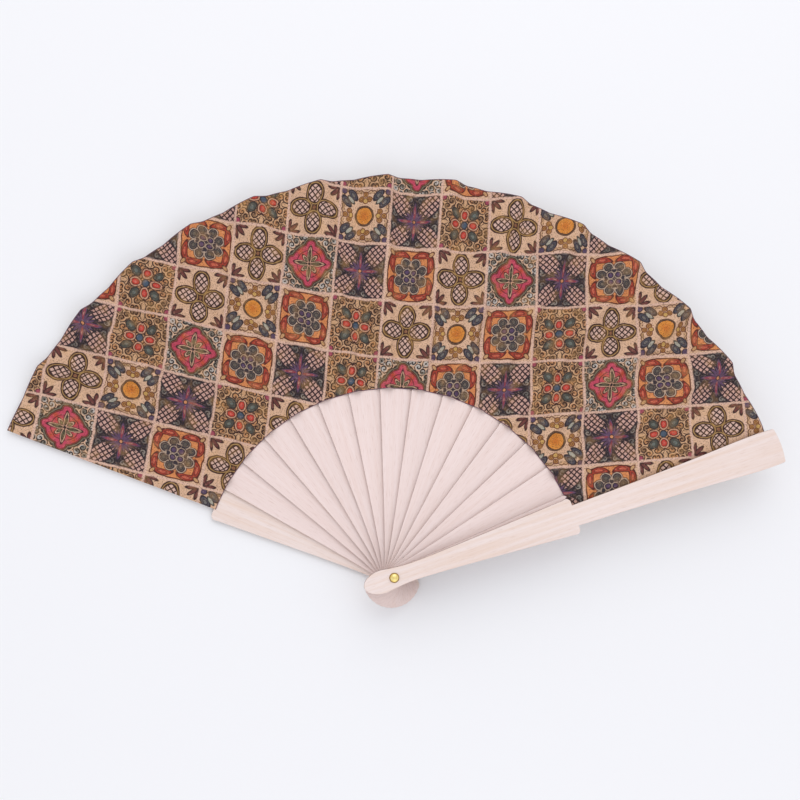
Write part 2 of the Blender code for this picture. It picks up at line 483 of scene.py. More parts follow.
def finish_stick(obj, node, material, axis_deg, stick, edge_slope):
    """The grain and the finishes. Faces steeper than edge_slope (the normal's Z) get the dark
    edge: sawn brown, with painted shade for the gaps between sticks.
    """
    lay_grain(obj, axis_deg, stick)
    obj.data.materials.append(material)
    obj.data.materials.append(EDGE_BROWN_AND_GAP_SHADE)
    for face in obj.data.polygons:
        face.material_index = 1 if abs(face.normal.z) < edge_slope else 0
    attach(obj, node)
    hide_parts(node)


print("edges sharper than", round(math.degrees(EDGE_ANGLE)), "degrees are eased")

# %% [markdown]
# ## Finishing the ribs
#
# A rib is a thin strip of pale wood, cut from board and sanded until its corners are just
# broken. All 14 are alike, and each lies a step higher and is turned one fold further than
# the last. So the first is copied from the model and eased, and the others are copies of it,
# turned and raised into place. The grain is laid only then, so no two ribs share it.

# %% Ribs
RIB_EDGE = 0.22 * MM
RIB_SLOPE = 0.97  # a face less level than this gets the dark edge, so the eased rims carry painted gap shade


def make_ribs():
    first = copy_of_node("rib_01", "sanded_rib_01")
    ease_edges(first, RIB_EDGE)
    ribs = [first]
    for n in range(2, RIBS + 1):
        rib = new_object(f"sanded_rib_{n:02d}", first.data.copy())
        turn = Matrix.Rotation(-math.radians(FOLD * (n - 1)), 4, "Z")
        rib.data.transform(Matrix.Translation((0, 0, RIB_PITCH * (n - 1))) @ turn)
        ribs.append(rib)
    for n, rib in enumerate(ribs, 1):
        finish_stick(rib, f"rib_{n:02d}", STICK_WOOD, axis_of(n), n, RIB_SLOPE)
    return ribs


ribs = make_ribs()
print(len(ribs), "ribs of", len(ribs[0].data.polygons), "faces")

# %% [markdown]
# ## Finishing the guards
#
# The guards are the two outer sticks, twice as thick as a rib and rounder at the edges,
# because the hand rubs them. The front guard's eased edge is already in the model, so only
# its shading is smoothed. The rear guard, which lies under the leaf, is eased here.

# %% Guards
GUARD_EDGE = 0.3 * MM
GUARD_SLOPE = 0.4


def make_guards():
    rear = copy_of_node("rear_guard", "sanded_rear_guard")
    ease_edges(rear, GUARD_EDGE)
    finish_stick(rear, "rear_guard", GUARD_WOOD, REAR_AXIS, 0, GUARD_SLOPE)
    front = copy_of_node("front_guard", "sanded_front_guard", flatten=False)
    only_selected(front)
    bpy.ops.object.shade_smooth_by_angle(angle=SMOOTH_ANGLE)
    finish_stick(front, "front_guard", GUARD_WOOD, FRONT_AXIS, RIBS + 1, GUARD_SLOPE)
    return rear, front


guards = make_guards()
print("guards:", [len(guard.data.polygons) for guard in guards])

# %% [markdown]
# ## The brass rivet
#
# The rivet is a pin with a domed head, closed over a thin washer on the front guard, and a
# flat tail over a second washer that is let into the back. Turned pieces are made by
# drawing their outline round the axis: a circle is extruded step by step, and each step is
# scaled to the outline's next radius.

# %% Turn a piece on the rivet's axis
ROUND_SIDES = 64
ROUND_ANGLE = math.radians(40)  # a blunter corner is shaded smooth
FINE_WELD = 1e-7  # metres


def turned(name, outline, closed=False):
    """A solid round the Z axis through an outline of (radius, height), from the bottom up."""
    bpy.ops.object.select_all(action="DESELECT")
    radius, height = outline[0]
    fill = "NOTHING" if closed else "NGON"
    bpy.ops.mesh.primitive_circle_add(
        vertices=ROUND_SIDES, radius=radius, fill_type=fill, location=(0, 0, height)
    )
    obj = bpy.context.object
    obj.name = name
    bpy.ops.object.transform_apply(location=True, rotation=True, scale=True)
    steps = outline[1:] + outline[:1] if closed else outline[1:]
    with editing(obj, "SELECT"):
        for next_radius, next_height in steps:
            bpy.ops.mesh.extrude_region_move()
            scale = next_radius / radius
            bpy.ops.transform.resize(value=(scale, scale, 1))
            bpy.ops.transform.translate(value=(0, 0, next_height - height))
            radius, height = next_radius, next_height
        bpy.ops.mesh.select_all(action="SELECT")
        bpy.ops.mesh.remove_doubles(threshold=FINE_WELD)
        bpy.ops.mesh.normals_make_consistent(inside=False)
    bpy.ops.object.shade_smooth_by_angle(angle=ROUND_ANGLE)
    return obj


print("turned pieces have", ROUND_SIDES, "sides")

# %% [markdown]
# ## Polished brass
#
# The rivet is brass, with a bright head and duller washers. A metal takes its colour from its
# reflections, so the shader's metallic value is full, and fine noise varies both the tint
# and the roughness, as handling does.

# %% Brass finish
def brass(name, bright, dull):
    material = new_material(name)
    tree = material.node_tree
    place = tree.nodes.new("ShaderNodeTexCoord").outputs["Object"]
    blotches = noise(tree, place, 900, 3.0)
    marks = noise(tree, place, 1.0, 3.0, (700, 700, 4200))
    paint = Painting(tree, bright)
    paint.over(dull, ramp(blotches, 2.0, -0.6))
    rough = calc("MULTIPLY_ADD", marks, 0.2, 0.24)
    shader = finish_shader(material, paint.colour, rough, marks, 0.02, 0.3)
    shader.inputs["Metallic"].default_value = 1.0
    return material


BRASS = brass("rivet_brass", "FFEFA6", "F0CE70")
WASHER_BRASS = brass("washer_brass", "B08C48", "7E5F2C")
print("finishes:", BRASS.name, WASHER_BRASS.name)

# %% [markdown]
# ## The rivet's outline
#
# The pin is one turned piece: a spread tail, a straight shank and a low dome, whose outline
# is a quarter of an oval. A washer is a ring with a square outline and eased outer edges.
# The heights, and the radii of the head and the washers, come from the model's nodes.

# %% Rivet and washers
DOME_STEPS = 12
PIN_RADIUS, TAIL_RADIUS, HOLE_RADIUS = 1.25 * MM, 2.0 * MM, 1.33 * MM
METAL_GAP = 0.05 * MM
WASHER_EASE = 0.1 * MM


def ring_outline(box):
    """A washer's outline with eased outer edges, inside the model washer's box."""
    low, high = box[0][2], box[1][2]
    outer, ease = box[1][0], WASHER_EASE
    return [
        (HOLE_RADIUS, low),
        (outer - ease, low),
        (outer, low + ease),
        (outer, high - ease),
        (outer - ease, high),
        (HOLE_RADIUS, high),
    ]


def make_rivet():
    low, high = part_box("rivet_pin")
    head_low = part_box("front_washer")[1][2] + METAL_GAP
    tail_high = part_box("rear_washer")[0][2] - METAL_GAP
    head, pin, tail = high[0], PIN_RADIUS, TAIL_RADIUS
    outline = [
        (tail - 0.2 * MM, low[2]),
        (tail - 0.06 * MM, low[2] + 0.05 * MM),
        (tail, low[2] + 0.18 * MM),
        (tail, tail_high),
        (pin, tail_high),
        (pin, head_low),
        (head - 0.08 * MM, head_low),
        (head, head_low + 0.1 * MM),
    ]
    rim = head_low + 0.16 * MM
    for step in range(DOME_STEPS):
        angle = math.pi / 2 * step / DOME_STEPS
        outline.append((head * math.cos(angle), rim + (high[2] - rim) * math.sin(angle)))
    outline.append((head * 0.02, high[2]))
    rivet = turned("domed_rivet", outline)
    front = turned("front_washer_ring", ring_outline(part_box("front_washer")), closed=True)
    rear = turned("rear_washer_ring", ring_outline(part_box("rear_washer")), closed=True)
    for piece, node in ((rivet, "rivet_pin"), (front, "front_washer"), (rear, "rear_washer")):
        piece.data.materials.append(BRASS if piece == rivet else WASHER_BRASS)
        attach(piece, "rear_guard")
        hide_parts(node)
    return rivet, front, rear


rivet = make_rivet()
print("rivet pieces:", [len(piece.data.polygons) for piece in rivet])

# %% [markdown]
# ## The print
#
# The cloth is printed with a patchwork of square tiles in six designs, drawn in brown pen
# and filled with soft colour, on a tan ground that has the specks of ground cork. Each
# design is its own material, painted shape over shape. A tile is symmetric, so a point is
# folded into one corner of it before anything is drawn: p is its larger distance from the
# middle lines, q the smaller, and d and e are measured along and across the diagonal.

# %% The tile's own coordinates
WOBBLE = 0.03  # of a tile: how far the hand-drawn lines wander
CURL_TURNS = 2.1  # turns of a curl for each curl width
CURL_EDGE, CURL_PEN = 0.42, 0.1  # of a curl width: its tinted disc, and half its pen line
TINTS = 5.0  # changes of tint across a tile


class Tile:
    """The coordinates of a printed tile, with its middle at 0 and its sides at 0.5."""

    def __init__(self, tree):
        uv = uv_of(tree, "print")
        split = tree.nodes.new("ShaderNodeSeparateXYZ")
        tree.links.new(uv, split.inputs[0])
        sides = [Number(tree, socket) for socket in split.outputs[:2]]
        wander = [noise(tree, uv, 7.0, 1.0), noise(tree, uv, 7.7, 1.0)]
        folded = []
        for side, drift in zip(sides, wander):
            moved = side + (drift - 0.5) * WOBBLE
            folded.append(calc("PINGPONG", moved, 0.5))
        near_x, near_y = [0.5 - value for value in folded]
        self.tree, self.uv = tree, uv
        self.x, self.y = near_x, near_y
        self.p = calc("MAXIMUM", near_x, near_y)
        self.q = calc("MINIMUM", near_x, near_y)
        self.d = (near_x + near_y) * math.sqrt(0.5)
        self.e = (self.p - self.q) * math.sqrt(0.5)
        self.r = distance(near_x, near_y)

    def circle(self, p, q, radius):
        return distance(self.p - p, self.q - q) - radius

    def lattice(self, count):
        """Distance to crossed pen lines, in line spacings."""
        one = calc("PINGPONG", (self.x + self.y) * count, 0.5)
        other = calc("PINGPONG", self.x * count - self.y * count, 0.5)
        return calc("MINIMUM", one, other)

    def curls(self, scale):
        """Scattered curls, alike in every corner: distance to a curl's middle, and to its line."""
        start = arrow(self.p, self.q)
        node = self.tree.nodes.new("ShaderNodeTexVoronoi")
        node.voronoi_dimensions = "2D"
        node.inputs["Scale"].default_value = scale
        node.inputs["Randomness"].default_value = 1.0
        self.tree.links.new(start, node.inputs["Vector"])
        middle = self.tree.nodes.new("ShaderNodeSeparateXYZ")
        self.tree.links.new(node.outputs["Position"], middle.inputs[0])
        across = self.p - Number(self.tree, middle.outputs[0])
        along = self.q - Number(self.tree, middle.outputs[1])
        turn = calc("ARCTAN2", along, across) * (0.5 / math.pi)
        out = Number(self.tree, node.outputs["Distance"])
        return out, calc("PINGPONG", out * CURL_TURNS + turn, 0.5) * (1 / CURL_TURNS)


def scrollwork(tile, paint, scale, fill, other, pen, where=1.0):
    """Fills a region with small curls in pen line, tinted with two colours."""
    out, curl = tile.curls(scale)
    soft = PEN_SOFT * scale
    tint = noise(tile.tree, tile.uv, TINTS, 0.0)
    paint.over(fill, inside(out - CURL_EDGE, soft) * where)
    paint.over(other, inside(out - CURL_EDGE, soft) * inside(0.5 - tint, 0.04) * where)
    paint.over(pen, inside(curl - CURL_PEN, soft) * where)


print("a tile's lines wander by", WOBBLE / 2, "of a tile")

# %% [markdown]
# ### From drawing to cloth
#
# Every design gets the same ending: the pale seam between the tiles, uneven ink, the specks
# of the cork-like ground, and a fine, matt, slightly rough surface.

# %% Turn a drawing into a cloth material
SEAM = 0.022  # of a tile: half the pale line between two tiles
FLECKS, GRAIN = 46.0, 21.0  # specks and clouds across a tile


def printed(name, draw):
    material = new_material(name)
    tree = material.node_tree
    tile = Tile(tree)
    paint = draw(tile)
    ragged = noise(tree, tile.uv, 24.0, 2.0)
    cloud = noise(tree, tile.uv, GRAIN, 3.0)
    fleck = noise(tree, tile.uv, FLECKS, 2.0)
    blush = noise(tree, tile.uv, 4.0, 2.0)
    paint.over("DBA45C", ramp(blush, 4.0, -2.0) * 0.3)
    paint.over("E0B8A2", inside(0.5 - tile.p - SEAM + (ragged - 0.5) * 0.03, 0.02))
    paint.over("D6AE8E", ramp(cloud, 4.0, -2.3) * 0.4)
    paint.over("4E2E1E", ramp(fleck, 7.0, -3.7) * 0.7)
    paint.darker(calc("MULTIPLY_ADD", cloud, 0.5, 0.68))
    height = fleck + cloud * 0.5
    finish_shader(material, paint.colour, 0.86, height, 0.06, 0.5)
    return material


def plain_cloth(name, colour, speck):
    material = new_material(name)
    tree = material.node_tree
    uv = uv_of(tree, "print")
    cloud = noise(tree, uv, GRAIN, 3.0)
    fleck = noise(tree, uv, FLECKS, 2.0)
    paint = Painting(tree, colour)
    paint.over(speck, ramp(fleck, 7.0, -4.0) * 0.6)
    paint.darker(calc("MULTIPLY_ADD", cloud, 0.3, 0.82))
    finish_shader(material, paint.colour, 0.9, fleck, 0.06, 0.5)
    return material


CLOTH = []  # the leaf's finishes, in the order that its faces count them


def print_design(draw):
    """Adds a design's cloth finish to the leaf's finishes."""
    CLOTH.append(printed(f"print_{draw.__name__}", draw))
    print(draw.__name__, "drawn with", len(CLOTH[-1].node_tree.nodes), "nodes")


print("each seam is", 2 * SEAM, "of a tile wide")

# %% [markdown]
# ### The six designs
#
# One has four lattice petals, one a red diamond with a green flower, one a grey rosette on
# an orange square, one a dark lattice with a star, one an orange sun with leaves, and one a
# crowded ring of scrolls round four red hearts. All are old tile motifs. In the first, a
# petal is an oval on the middle line, with a smaller oval in it that holds a net of lines.

# %% Lattice petals
BROWN, DARK, SAND = "38190E", "21121A", "DDB494"


def lattice_petals(tile):
    paint = Painting(tile.tree, SAND)
    petal = oval(tile.p, tile.q, 0.255, 0.222, 0.165)
    paint.over("B08A52", inside(petal))
    paint.over("DCB6A6", inside(petal + 0.036))
    grid = inside(tile.lattice(9.0) - 0.15, 0.08)
    paint.over("2E1812", grid * inside(petal + 0.03))
    paint.over(BROWN, line(petal, 0.024))
    paint.over(BROWN, line(petal + 0.036, 0.02))
    paint.over("8A5A3C", inside(tile.r - 0.04))
    paint.over(BROWN, line(tile.r - 0.04, 0.02))
    near, far = 0.5 - tile.p, 0.5 - tile.q
    leaf = oval((near + far) * 0.707, (far - near) * 0.707, 0.165, 0.105, 0.036)
    side = oval(far + near * 0.3, near - far * 0.22 - 0.01, 0.17, 0.1, 0.032)
    leaves = calc("MINIMUM", leaf, side)
    paint.over("6E3A34", inside(leaves))
    paint.over("3A1D1C", line(leaves, 0.016))
    return paint


print_design(lattice_petals)

# %% [markdown]
# ## A red diamond with rounded points
#
# The outline is a circle run softly together with four smaller ones, which stand out at its
# sides. A smooth minimum of their distances joins them without a crease. Inside it lie an orange
# cross and a green flower, and small curls fill the corners.

# %% Red diamond
def red_diamond(tile):
    paint = Painting(tile.tree, SAND)
    scrollwork(tile, paint, 8.0, "BDB6AE", "7A7468", "1E1614")
    gap = calc("SMOOTH_MIN", tile.r - 0.392, tile.circle(0.325, 0.0, 0.15), 0.03)
    rims = ("75705A", 0.014), ("3A1A1C", 0.034), ("8A4A30", 0.048), ("C4455C", 0.062)
    paint.bands(gap, ("3A2A24", 0.0), *rims)
    paint.over("C24C30", inside(tile.e - 0.05, 0.1) * inside(gap + 0.066))
    paint.over("5A1622", line(gap + 0.15, 0.014))
    paint.over("5A1622", line(gap + 0.066, 0.012))
    short = oval(tile.d, tile.e, 0.095, 0.09, 0.036)
    long = oval(tile.p, tile.q, 0.14, 0.14, 0.038)
    rims = ("3A1A1C", -0.014), ("D8A88A", -0.003), ("3F3A2A", 0.008), ("78704E", 0.020)
    for petal in (short, long):
        paint.bands(petal, *rims)
    paint.over(DARK, line(tile.q, 0.012) * inside(long))
    paint.over(DARK, inside(tile.r - 0.026))
    return paint


print_design(red_diamond)

# %% [markdown]
# ## A grey rosette
#
# A square with full, rounded sides is the distance by fourth powers in place of squares. Four
# pairs of red leaves frame it, and eight grey lobes ring a dark middle. The folded coordinates
# mean that only one leaf and one lobe are drawn.

# %% Grey rosette on an orange square
def grey_rosette(tile):
    paint = Painting(tile.tree, SAND)
    x4, y4 = calc("POWER", tile.x, 4.0), calc("POWER", tile.y, 4.0)
    square = calc("POWER", x4 + y4, 0.25) - 0.455
    paint.over("DB8A52", inside(square))
    bend = (tile.q - 0.2) * (tile.q - 0.2) * 1.6
    leaf = oval(tile.q, tile.p + bend - 0.385, 0.21, 0.175, 0.058)
    paint.over("A83A24", inside(leaf))
    paint.over("CC6248", inside(leaf + 0.026))
    paint.over("7A2A20", line(leaf + 0.03, 0.012))
    paint.over("5A1E16", line(leaf, 0.016))
    paint.over("5A2416", line(square, 0.022))
    bud = oval(tile.d, tile.e, 0.55, 0.06, 0.035)
    paint.over("C89A6A", inside(bud))
    paint.over("5A2416", line(bud, 0.014))
    lobe = tile.circle(0.222, 0.098, 0.088)
    outline = calc("MINIMUM", lobe, tile.r - 0.19)
    paint.over("4A2A22", inside(outline - 0.022))
    paint.over("BFA690", inside(outline - 0.01))
    paint.over("302A32", inside(outline + 0.006))
    paint.over("625A50", inside(lobe + 0.03))
    paint.over("28242C", line(lobe + 0.05, 0.014))
    paint.over("B49A86", line(tile.circle(0.16, 0.0, 0.05), 0.01) * inside(tile.q - 0.05))
    eye = distance(tile.x - 0.068, tile.y - 0.068) - 0.058
    paint.over("BFA690", inside(eye - 0.010))
    paint.over("2A2030", inside(eye + 0.002))
    paint.over("55405F", inside(eye + 0.022))
    return paint


print_design(grey_rosette)

# %% [markdown]
# ## A dark lattice
#
# Four wide petals reach into the corners. They are pale, and crossed with a net of dark pen
# lines. A narrow star of purple leaves covers their meeting point.

# %% Dark lattice with a star
def dark_lattice(tile):
    paint = Painting(tile.tree, "4E4244")
    scrollwork(tile, paint, 9.0, "8C8278", "66605A", "170E12")
    petal = oval(tile.d, tile.e, 0.385, 0.29, 0.152)
    paint.over("261E26", inside(petal - 0.022))
    paint.over("D0A496", inside(petal))
    grid = inside(tile.lattice(9.0) - 0.16, 0.08)
    paint.over("2A161E", grid * inside(petal + 0.004))
    paint.over("33222A", line(petal, 0.014))
    slant = oval(tile.d, tile.e, 0.115, 0.105, 0.024)
    upright = oval(tile.p, tile.q, 0.175, 0.17, 0.034)
    between = oval(tile.p + tile.q * 0.42, tile.q - tile.p * 0.42, 0.12, 0.11, 0.018)
    star = calc("MINIMUM", calc("MINIMUM", slant, upright), between)
    paint.over("261E26", inside(star - 0.016))
    paint.over("5F4460", inside(star))
    paint.over("8E3A48", inside(upright + 0.010))
    paint.over("B08478", inside(upright + 0.026))
    paint.over(DARK, inside(tile.r - 0.042))
    paint.over("D08A5C", inside(tile.r - 0.028))
    return paint


print_design(dark_lattice)

# %% [markdown]
# ## An orange sun
#
# A plain disc with a double rim is the quiet middle of this design. Grey leaves stand in the
# corners and little yellow blooms at the sides.

# %% Orange sun
def orange_sun(tile):
    paint = Painting(tile.tree, SAND)
    outside = inside(0.40 - tile.p)
    scrollwork(tile, paint, 9.0, "C9A07A", "A8845C", "5A301E", outside * 0.9)
    lobe = tile.circle(0.30, 0.075, 0.048)
    bloom = calc("MINIMUM", lobe, tile.circle(0.385, 0.0, 0.045))
    paint.over("B98446", inside(bloom))
    paint.over("6E3A1E", line(bloom, 0.018))
    paint.over("6E3A1E", line(bloom + 0.028, 0.012))
    paint.over("C9A05A", inside(tile.circle(0.27, 0.0, 0.045)))
    paint.over("6E3A1E", line(tile.circle(0.27, 0.0, 0.045), 0.016))
    leaf = oval(tile.d, tile.e - 0.09, 0.44, 0.12, 0.062)
    paint.over("4C4A52", inside(leaf))
    paint.over("6E6A66", inside(leaf + 0.034))
    paint.over("26202A", line(leaf, 0.02))
    paint.over("26202A", line(leaf + 0.034, 0.010))
    bud = oval(tile.d, tile.e, 0.40, 0.09, 0.036)
    paint.over("ADA898", inside(bud))
    paint.over("3A3A34", line(bud, 0.014))
    corner = oval(tile.d, tile.e, 0.62, 0.06, 0.055)
    paint.over("54405A", inside(corner))
    paint.over("2E2028", line(corner, 0.014))
    rims = ("4A2A1E", -0.192), ("7A5A3C", -0.178), ("33201A", -0.168), ("DA8A34", -0.150)
    paint.bands(tile.r, *rims)
    paint.over("C4621A", inside(tile.r - 0.07, 0.1) * 0.6)
    return paint


print_design(orange_sun)

# %% [markdown]
# ## Four hearts in scrolls
#
# This is the busiest design. Curls in brown pen line fill the whole tile, and four red hearts and
# four green leaves turn round a blue eye in front of them.

# %% Four hearts in scrolls
def hearts_in_scrolls(tile):
    paint = Painting(tile.tree, "D2A67E")
    scrollwork(tile, paint, 8.0, "C0885A", "8E6A4A", "2E140C")
    leaf = oval(tile.d, tile.e, 0.275, 0.1, 0.072)
    paint.bands(leaf, ("2E2A28", -0.010), ("4A4C44", 0.008), ("6A7068", 0.044))
    heart = oval(tile.p, tile.q, 0.185, 0.1, 0.076)
    dent = tile.circle(0.30, 0.0, 0.03)
    heart = calc("MAXIMUM", heart, 0 - dent)
    paint.bands(heart, ("3E1C16", -0.020), ("CE9A7C", -0.006), ("4E1C16", 0.014))
    paint.bands(heart, ("C23A2A", 0.026), ("CE5A4E", 0.05))
    paint.bands(tile.r, ("2A3038", -0.075), ("46586A", -0.05))
    rose = distance(0.45 - tile.p, 0.45 - tile.q) - 0.05
    paint.over("A04458", inside(rose))
    paint.over("4E1C26", line(rose, 0.014))
    return paint


print_design(hearts_in_scrolls)

# %% [markdown]
# ## The cloth's back and cut edge
#
# The back of the cloth is left unprinted, in the thread's own colour with darker slubs. The cut
# edge shows the threads' ends, soaked with ink, so it is darker.

# %% The back and the edge of the cloth
BACK, EDGE = len(CLOTH), len(CLOTH) + 1
CLOTH.append(plain_cloth("cloth_back", "C9AE93", "8A664A"))
CLOTH.append(plain_cloth("cloth_edge", "6A4A58", "3E2A34"))
print(len(CLOTH), "cloth finishes")

# %% [markdown]
# ## Cutting and printing the leaf
#
# The leaf starts as a flat grid, bent into a ring sector by moving its points to polar
# places. A pleated leaf is wider flat than open: each panel leans, so it shows narrower
# than it was cut. The tiles are printed on the flat cloth, so the sheet is cut along the
# tiles' seams, and each cell takes its design before anything is folded.

# %% The flat sheet
LEAF_INNER, LEAF_OUTER = 97.6 * MM, 210.5 * MM
EDGE_LINE = 0.35 * MM  # width of the inked cut edge
STATIONS = (0.0, 0.05, 0.16, 0.28, 0.40, 0.5, 0.60, 0.72, 0.84, 0.95)  # across one panel
ROWS = 22  # rings of cells between the two cut edges
PANELS = 2 * RIBS + 1
LEAF_LEFT = axis_of(0) + HALF_PANEL
LEAF_RIGHT = LEAF_LEFT - PANELS * 2 * HALF_PANEL
FLAT_STRETCH = 1.1123  # flat angle over open angle


def flat_angle(open_deg):
    """Where a line of the open leaf lies on the flat cloth, laid out from its right end."""
    return LEAF_RIGHT + (open_deg - LEAF_RIGHT) * FLAT_STRETCH


def flat_sheet():
    shares = [panel + s for panel in range(PANELS) for s in STATIONS] + [PANELS]
    inner, outer = LEAF_INNER + EDGE_LINE, LEAF_OUTER - EDGE_LINE
    between = [inner + (outer - inner) * n / ROWS for n in range(ROWS + 1)]
    radii = [LEAF_INNER, *between, LEAF_OUTER]
    bpy.ops.object.select_all(action="DESELECT")
    bpy.ops.mesh.primitive_grid_add(
        x_subdivisions=len(shares) - 1, y_subdivisions=len(radii) - 1, size=1
    )
    sheet = bpy.context.object
    sheet.name = "leaf"
    for vertex in sheet.data.vertices:
        column = round((vertex.co.x + 0.5) * (len(shares) - 1))
        row = round((vertex.co.y + 0.5) * (len(radii) - 1))
        angle = math.radians(flat_angle(LEAF_LEFT - shares[column] * 2 * HALF_PANEL))
        vertex.co = (radii[row] * math.cos(angle), radii[row] * math.sin(angle), 0)
    return sheet


leaf = flat_sheet()
width = flat_angle(LEAF_LEFT) - LEAF_RIGHT
print("flat leaf:", len(leaf.data.polygons), "cells,", round(width, 1), "degrees wide")

# %% [markdown]
# ## Printing the tiles
#
# The printer's repeat is a block of tiles, laid a few degrees off square to the fan. The flat
# sheet is cut along every seam between tiles, and each cell is given the design that its place in
# the block asks for. The map's unit is one tile, so a design is drawn once and fits everywhere.

# %% Print the tiles
TILE = 29.62 * MM
PRINT_TURN = -5.7  # degrees
PRINT_SHIFT = (0.597, -6.812)  # tiles
BLOCK = ((4, 6, 1, 5), (3, 1, 2, 4), (1, 5, 3, 6), (2, 3, 4, 6))  # designs, row by row downwards


def to_tiles():
    """The matrix from the flat cloth, in metres, to tile units."""
    shift = Matrix.Translation((*PRINT_SHIFT, 0))
    return shift @ Matrix.Scale(1 / TILE, 4) @ Matrix.Rotation(math.radians(PRINT_TURN), 4, "Z")


def map_to_tiles(sheet):
    """The UV map that the print is drawn on, from places on the flat cloth."""
    matrix = to_tiles()
    layer = sheet.data.uv_layers.new(name="print")
    for loop in sheet.data.loops:
        place = matrix @ sheet.data.vertices[loop.vertex_index].co
        layer.data[loop.index].uv = place.xy


def cut_along_seams(sheet):
    """Cuts the sheet along every line between two tiles."""
    matrix = to_tiles()
    back = matrix.inverted()
    places = [matrix @ vertex.co for vertex in sheet.data.vertices]
    cuts = []
    for way in (Vector((1, 0, 0)), Vector((0, 1, 0))):
        reaches = [place.dot(way) for place in places]
        normal = (back.to_3x3() @ way).normalized()
        seams = range(math.ceil(min(reaches)), math.floor(max(reaches)) + 1)
        cuts += [(back @ (way * seam), normal) for seam in seams]
    with editing(sheet):
        for point, normal in cuts:
            bpy.ops.mesh.select_all(action="SELECT")
            bpy.ops.mesh.bisect(plane_co=point, plane_no=normal, threshold=FINE_WELD)


def print_tiles(sheet):
    matrix = to_tiles()
    for other in list(sheet.data.uv_layers):
        sheet.data.uv_layers.remove(other)
    map_to_tiles(sheet)
    for material in CLOTH:
        sheet.data.materials.append(material)
    for face in sheet.data.polygons:
        place = matrix @ face.center
        row, column = math.floor(-place.y) % len(BLOCK), math.floor(place.x) % len(BLOCK)
        radius = face.center.length
        at_edge = radius < LEAF_INNER + EDGE_LINE or radius > LEAF_OUTER - EDGE_LINE
        face.material_index = EDGE if at_edge else BLOCK[row][column] - 1


cut_along_seams(leaf)
print_tiles(leaf)
print("printed leaf:", len(leaf.data.polygons), "cells")

# %% [markdown]
# ## Folding the leaf
#
# On each stick one panel is glued to the slip's front. Left of the slip the cloth lifts to
# a ridge, and right of it drops to a valley. The next panel, which is free, climbs from
# that valley to the ridge of the next stick, one step higher in the stack. The pleats are
# shallow by the blades and deep at the outer edge. The first panel lies flat on the rear
# guard, and the last one goes flat under the front guard.

# %% The pleats' heights
GLUE = 0.06 * MM  # the cloth's height above the slip
RIDGE_IN, RIDGE_OUT = 2.4 * MM, 6.2 * MM  # at the leaf's inner and outer edge
VALLEY_IN, VALLEY_OUT = -0.1 * MM, -0.8 * MM
LAST_RIDGE, FIRST_VALLEY, FIRST_BOW = 0.2, 0.8, 0.25  # of the usual, by the guards
BOW = 0.75 * MM  # how far the middle of a free panel stands out of its plane
BOW_FROM = 0.15  # of the way out, where the bow is full
GLUED_HALF = 2.2 * MM  # half the width of the glued strip
GLUE_CURVE = 0.15  # how softly the cloth leaves the slip
CREASE = 0.22 * MM  # how much a fold is rounded off
AT_FOLD = 0.01  # of a panel: nearer to a fold than this, the crease applies


def reach(radius):
    return (radius - LEAF_INNER) / (LEAF_OUTER - LEAF_INNER)


def blend(start, end, share):
    return start + (end - start) * share


def ridge(stick, radius):
    scale = 0 if stick == 0 else LAST_RIDGE if stick == RIBS else 1
    return scale * blend(RIDGE_IN, RIDGE_OUT, reach(radius))


def valley(stick, radius):
    if stick == RIBS:
        return 0
    scale = 0 if stick == 0 else FIRST_VALLEY if stick == 1 else 1
    return blend(VALLEY_IN, VALLEY_OUT * scale, reach(radius))


def glued_height(stick, share, radius):
    """Height of a glued panel above its stick: share runs from its ridge to its valley."""
    half = radius * math.radians(HALF_PANEL)
    offset = half * (1 - 2 * share)
    free = max(abs(offset) - GLUED_HALF, 0) / (half - GLUED_HALF)
    soft = GLUE_CURVE
    curve = (math.hypot(free, soft) - soft) / (math.hypot(1, soft) - soft)
    top = ridge(stick, radius) if offset > 0 else valley(stick, radius)
    return top * min(curve, 1)


def free_height(stick, share, radius):
    """Height of a free panel above its stick: share runs from its valley to the next ridge."""
    step = FRONT_Z[stick + 1] - FRONT_Z[stick]
    low, high = valley(stick, radius), step + ridge(stick + 1, radius)
    bow = BOW * min(reach(radius) / BOW_FROM, 1) * (1 if stick else FIRST_BOW)
    return blend(low, high, share) + bow * math.sin(math.pi * share)


SWELL = 1.7 * MM  # the trimmed edge stands out this much more,
SWELL_FADE = 10  # but fades over this many panels by the front guard


def fold(sheet):
    """Moves every point of the flat sheet to its place on the pleated leaf."""
    for vertex in sheet.data.vertices:
        radius = vertex.co.length
        flat = math.degrees(math.atan2(vertex.co.y, vertex.co.x))
        angle = LEAF_RIGHT + (flat - LEAF_RIGHT) / FLAT_STRETCH
        along = min(max((LEAF_LEFT - angle) / (2 * HALF_PANEL), 0), PANELS)
        panel = min(int(along + 1e-4), PANELS - 1)
        share = min(max(along - panel, 0), 1)
        stick = panel // 2
        height = (free_height if panel % 2 else glued_height)(stick, share, radius)
        at_fold = share < AT_FOLD or share > 1 - AT_FOLD
        if at_fold and 0 < along < PANELS - AT_FOLD:
            is_ridge = (panel + round(share)) % 2 == 0
            height += -CREASE if is_ridge else CREASE
        turn = math.radians(angle)
        z = FRONT_Z[stick] + GLUE + height
        radius += SWELL * reach(radius) * min((PANELS - along) / SWELL_FADE, 1)
        vertex.co = (radius * math.cos(turn), radius * math.sin(turn), z)


fold(leaf)
heights = [vertex.co.z / MM for vertex in leaf.data.vertices]
print("pleated leaf from", round(min(heights), 1), "to", round(max(heights), 1), "mm high")

# %% [markdown]
# ## Giving the cloth its thickness
#
# The whole leaf is thickened at once, so that the panels meet cleanly in every fold. The
# back of the cloth is unprinted, and its cut edges are dark. Only then is the leaf split
# into one piece for each panel, because each panel moves with its own stick.

# %% Thicken the leaf
CLOTH_THICK = 0.3 * MM
CUT_SLOPE = 0.3  # a face less level than this is the cut edge


